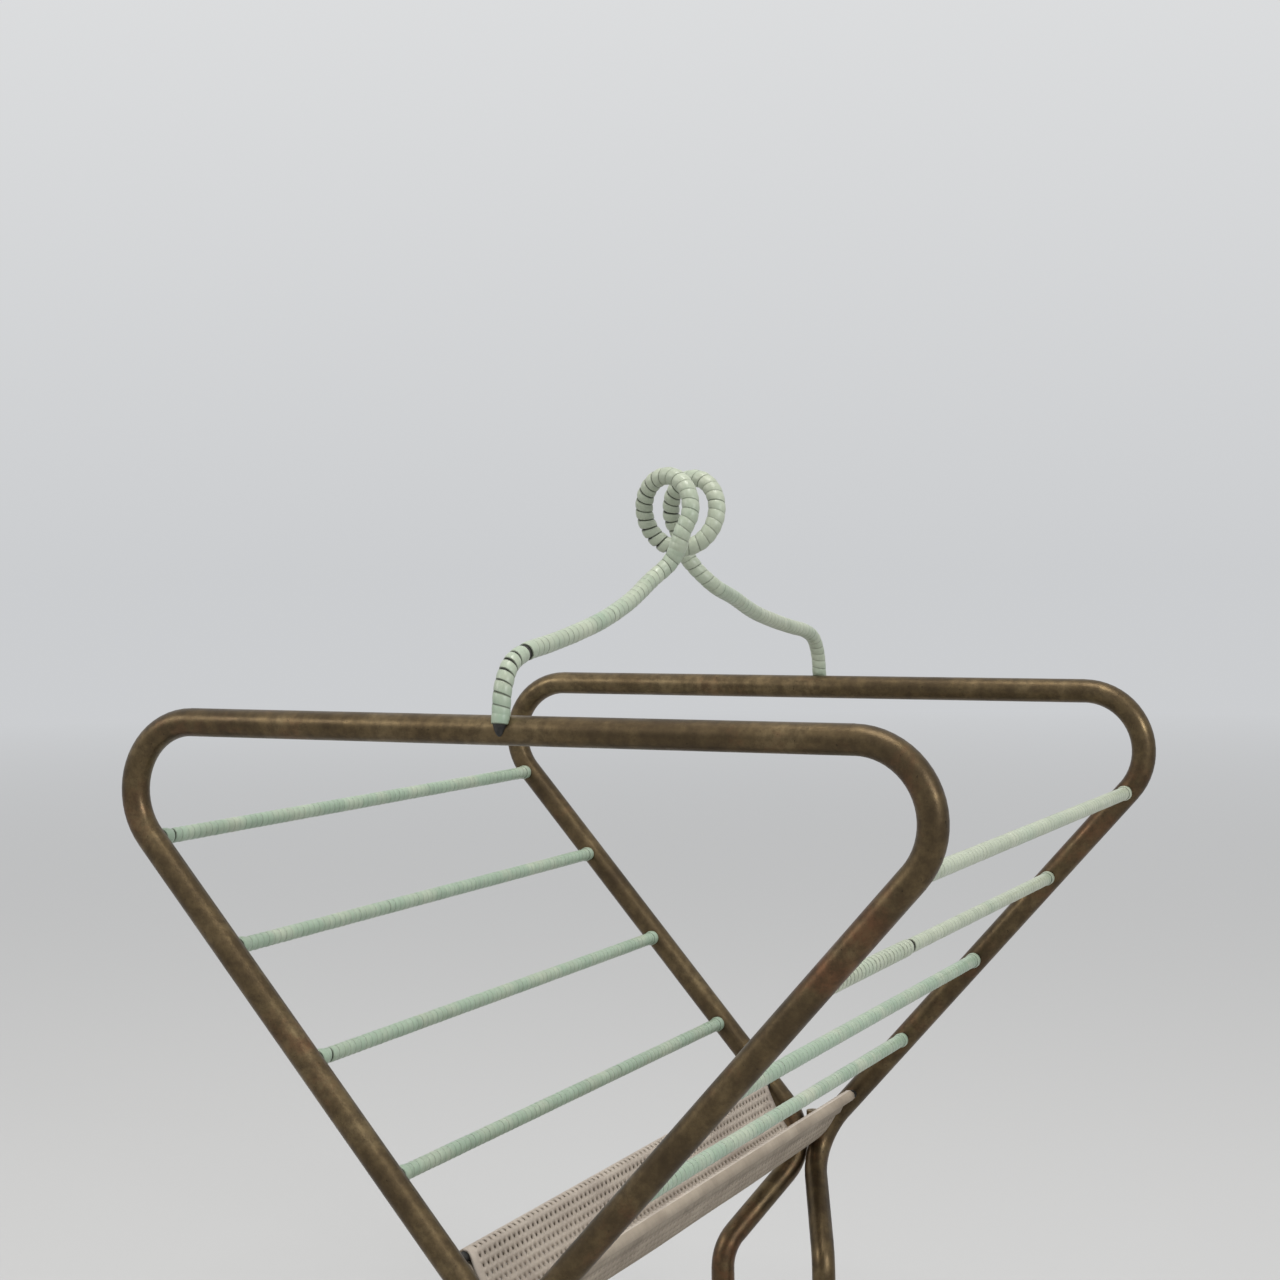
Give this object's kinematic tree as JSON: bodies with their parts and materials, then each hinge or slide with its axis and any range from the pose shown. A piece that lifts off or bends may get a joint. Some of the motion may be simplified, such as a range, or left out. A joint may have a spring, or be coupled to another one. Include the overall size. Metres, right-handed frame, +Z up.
{
  "type": "magazine rack",
  "caption": "Free-standing V-shaped magazine rack: bent brass tube end frames, plastic-wrapped rungs, a perforated sling floor and a wrapped wire handle with two loops.",
  "frame": {"origin": "on the floor under the middle of the rack, at the bottom centre of its bounding box", "axes": "+Z up; the end frames lie in planes across Y, the near one at -Y; the V opens towards -X and +X"},
  "size_m": [0.369, 0.3583, 0.495],
  "materials": {
    "aged_brass": "aged, brown and dull, with brighter rubbed tops",
    "braze": "dull braze fillet",
    "dark_wire": "blackened steel wire",
    "mint_strip": "satin soft plastic strip, pale mint green",
    "perforated_vinyl": "matt off-white perforated vinyl",
    "black_rubber": "matt black rubber"
  },
  "bodies": {
    "root": {"near_frame_tube": "aged_brass", "near_neck_braze": "braze", "near_rod_brazes": "braze", "far_frame_tube": "aged_brass", "far_neck_braze": "braze", "far_rod_brazes": "braze", "left_rung_1": "dark_wire", "left_wrap_1": "mint_strip", "left_rung_2": "dark_wire", "left_wrap_2": "mint_strip", "left_rung_3": "dark_wire", "left_wrap_3": "mint_strip", "left_rung_4": "dark_wire", "left_wrap_4": "mint_strip", "left_sling_rod": "dark_wire", "right_rung_1": "dark_wire", "right_wrap_1": "mint_strip", "right_rung_2": "dark_wire", "right_wrap_2": "mint_strip", "right_rung_3": "dark_wire", "right_wrap_3": "mint_strip", "right_rung_4": "dark_wire", "right_wrap_4": "mint_strip", "right_sling_rod": "dark_wire", "sling": "perforated_vinyl", "handle_wire": "dark_wire", "handle_wrap_near_end": "mint_strip", "handle_wrap_near_rise": "mint_strip", "handle_wrap_loops": "mint_strip", "handle_wrap_far": "mint_strip", "near_left_foot": "black_rubber", "near_right_foot": "black_rubber", "far_left_foot": "black_rubber", "far_right_foot": "black_rubber"}
  },
  "joints": []
}
